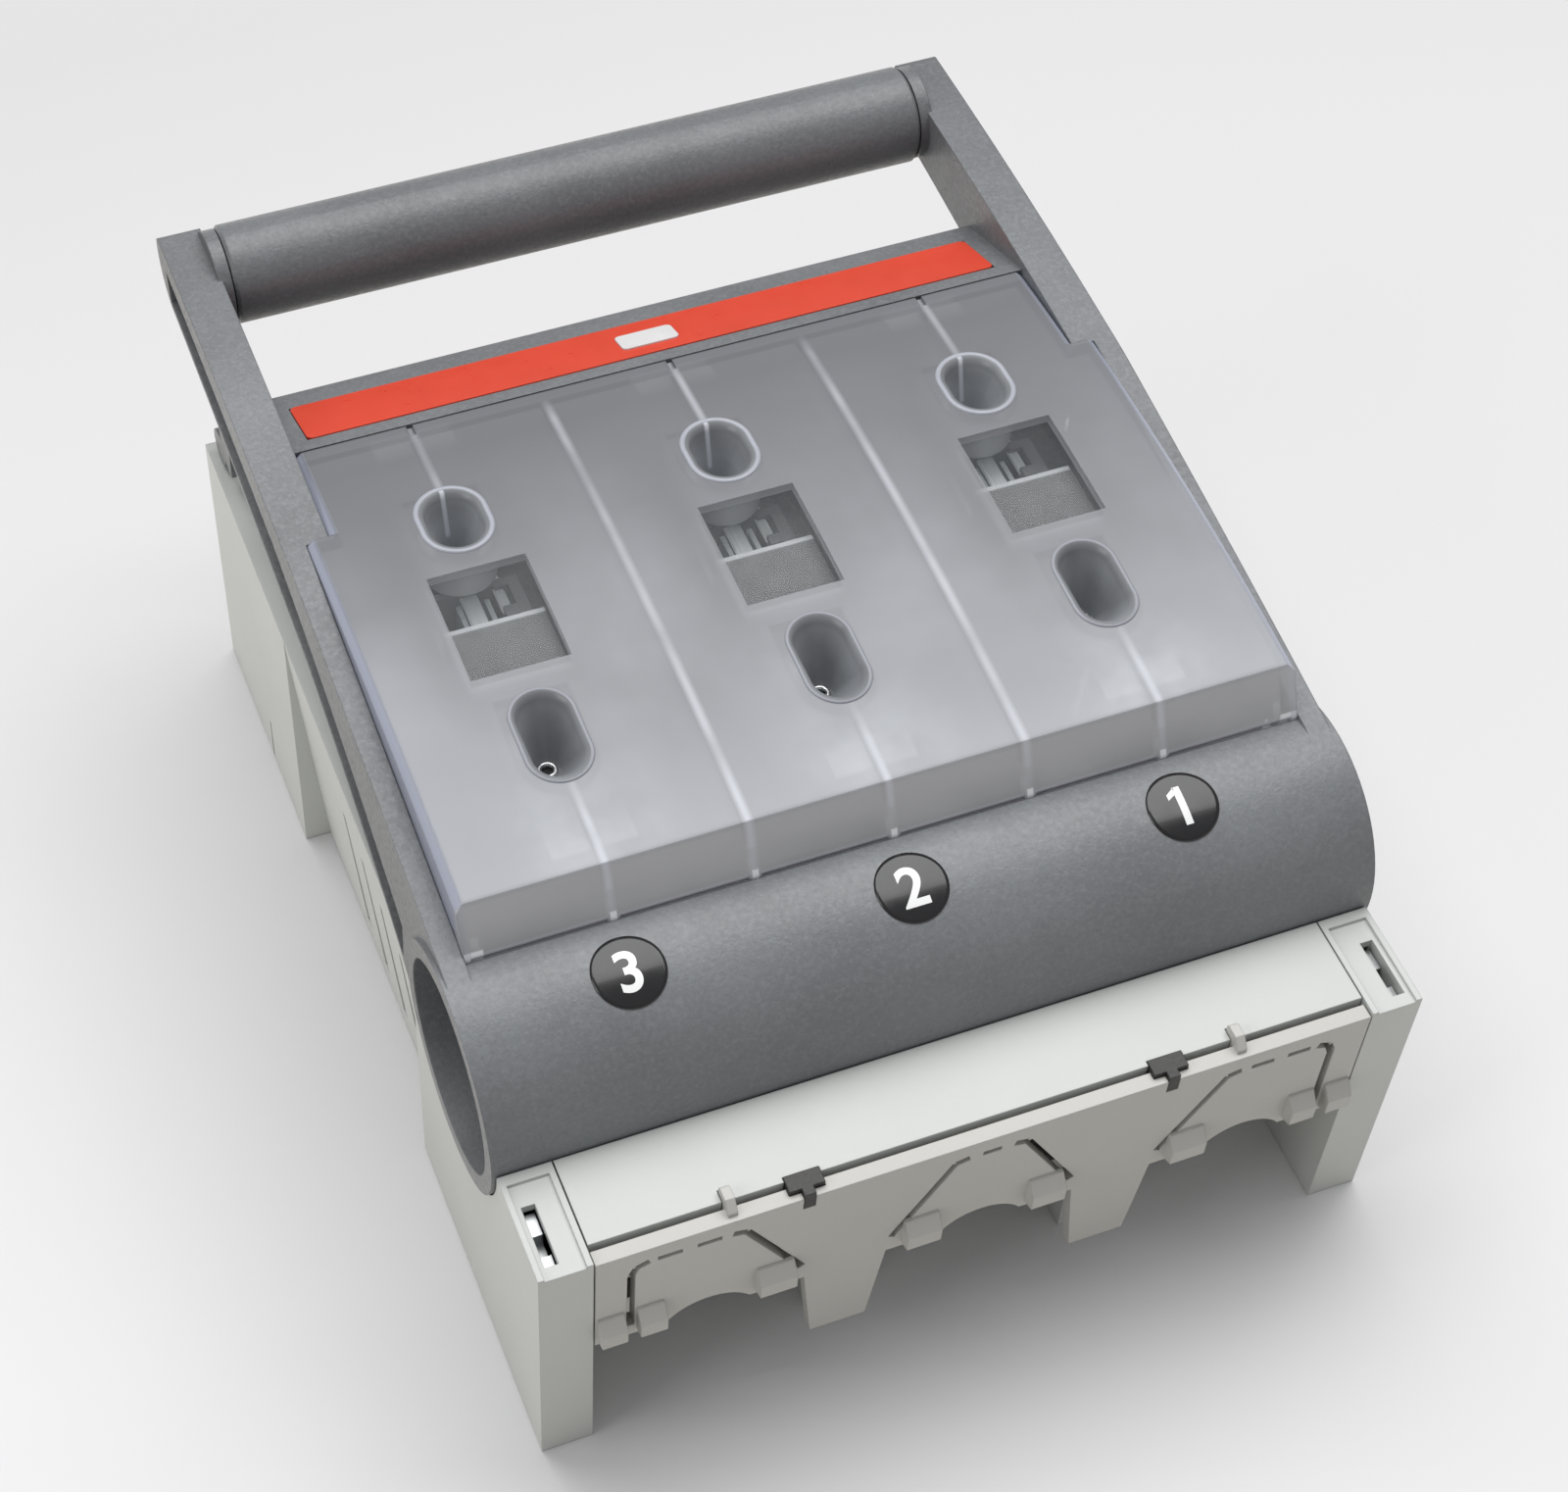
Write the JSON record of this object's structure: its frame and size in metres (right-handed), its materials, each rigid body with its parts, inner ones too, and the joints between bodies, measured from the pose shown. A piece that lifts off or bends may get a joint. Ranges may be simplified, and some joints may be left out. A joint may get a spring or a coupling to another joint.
{
  "type": "fuse switch disconnector",
  "caption": "Low-voltage fuse switch disconnector: a light grey base with clip-on terminal covers and a dark tilting lid with grip bar, hinge tube and frosted probe window.",
  "frame": {"origin": "centre of the four fixing holes, on the mounting plane", "axes": "+Z away from the mounting plane, to the front; +Y from the hinge tube to the grip bar; X across the poles"},
  "size_m": [0.21, 0.2851, 0.1298],
  "materials": {
    "base_plastic": "fine matt, light grey",
    "latch_plastic": "matt, dark",
    "lid_plastic": "matt, dark grey, fine mottle",
    "window_plastic": "frosted, see-through in part",
    "strip_plastic": "satin red",
    "tag_plastic": "satin white",
    "carrier_plastic": "matt, mid grey",
    "spring_steel": "bright",
    "plated_copper": "plated, satin",
    "arc_steel": "dull zinc",
    "bolt_steel": "zinc plated"
  },
  "bodies": {
    "base": {"base_body": "base_plastic", "near_top_cover": "base_plastic", "near_front_panel": "base_plastic", "far_top_cover": "base_plastic", "far_front_panel": "base_plastic", "near_latch_left": "latch_plastic", "near_latch_right": "latch_plastic", "far_latch_left": "latch_plastic", "far_latch_right": "latch_plastic", "near_jaw_spring_1": "spring_steel", "near_jaw_spring_2": "spring_steel", "near_jaw_spring_3": "spring_steel", "far_jaw_spring_1": "spring_steel", "far_jaw_spring_2": "spring_steel", "far_jaw_spring_3": "spring_steel", "slot_clip_left": "spring_steel", "slot_clip_right": "spring_steel", "near_contact_1": "plated_copper", "near_contact_2": "plated_copper", "near_contact_3": "plated_copper", "far_contact_1": "plated_copper", "far_contact_2": "plated_copper", "far_contact_3": "plated_copper", "arc_plates_1": "arc_steel", "arc_plates_2": "arc_steel", "arc_plates_3": "arc_steel", "terminal_bolts": "bolt_steel", "terminal_nuts": "bolt_steel"},
    "lid": {"lid_frame": "lid_plastic", "grip_bar": "lid_plastic", "window": "window_plastic", "marking_strip": "strip_plastic", "white_tag": "tag_plastic", "fuse_carrier_1": "carrier_plastic", "fuse_carrier_2": "carrier_plastic", "fuse_carrier_3": "carrier_plastic", "fuse_grips_1": "spring_steel", "fuse_grips_2": "spring_steel", "fuse_grips_3": "spring_steel"}
  },
  "joints": [
    {"name": "lid_hinge", "type": "hinge", "parent": "base", "child": "lid", "pos_m": [0, -0.0967, 0.0802], "axis": [1, 0, 0], "range_deg": [0, 95]}
  ]
}
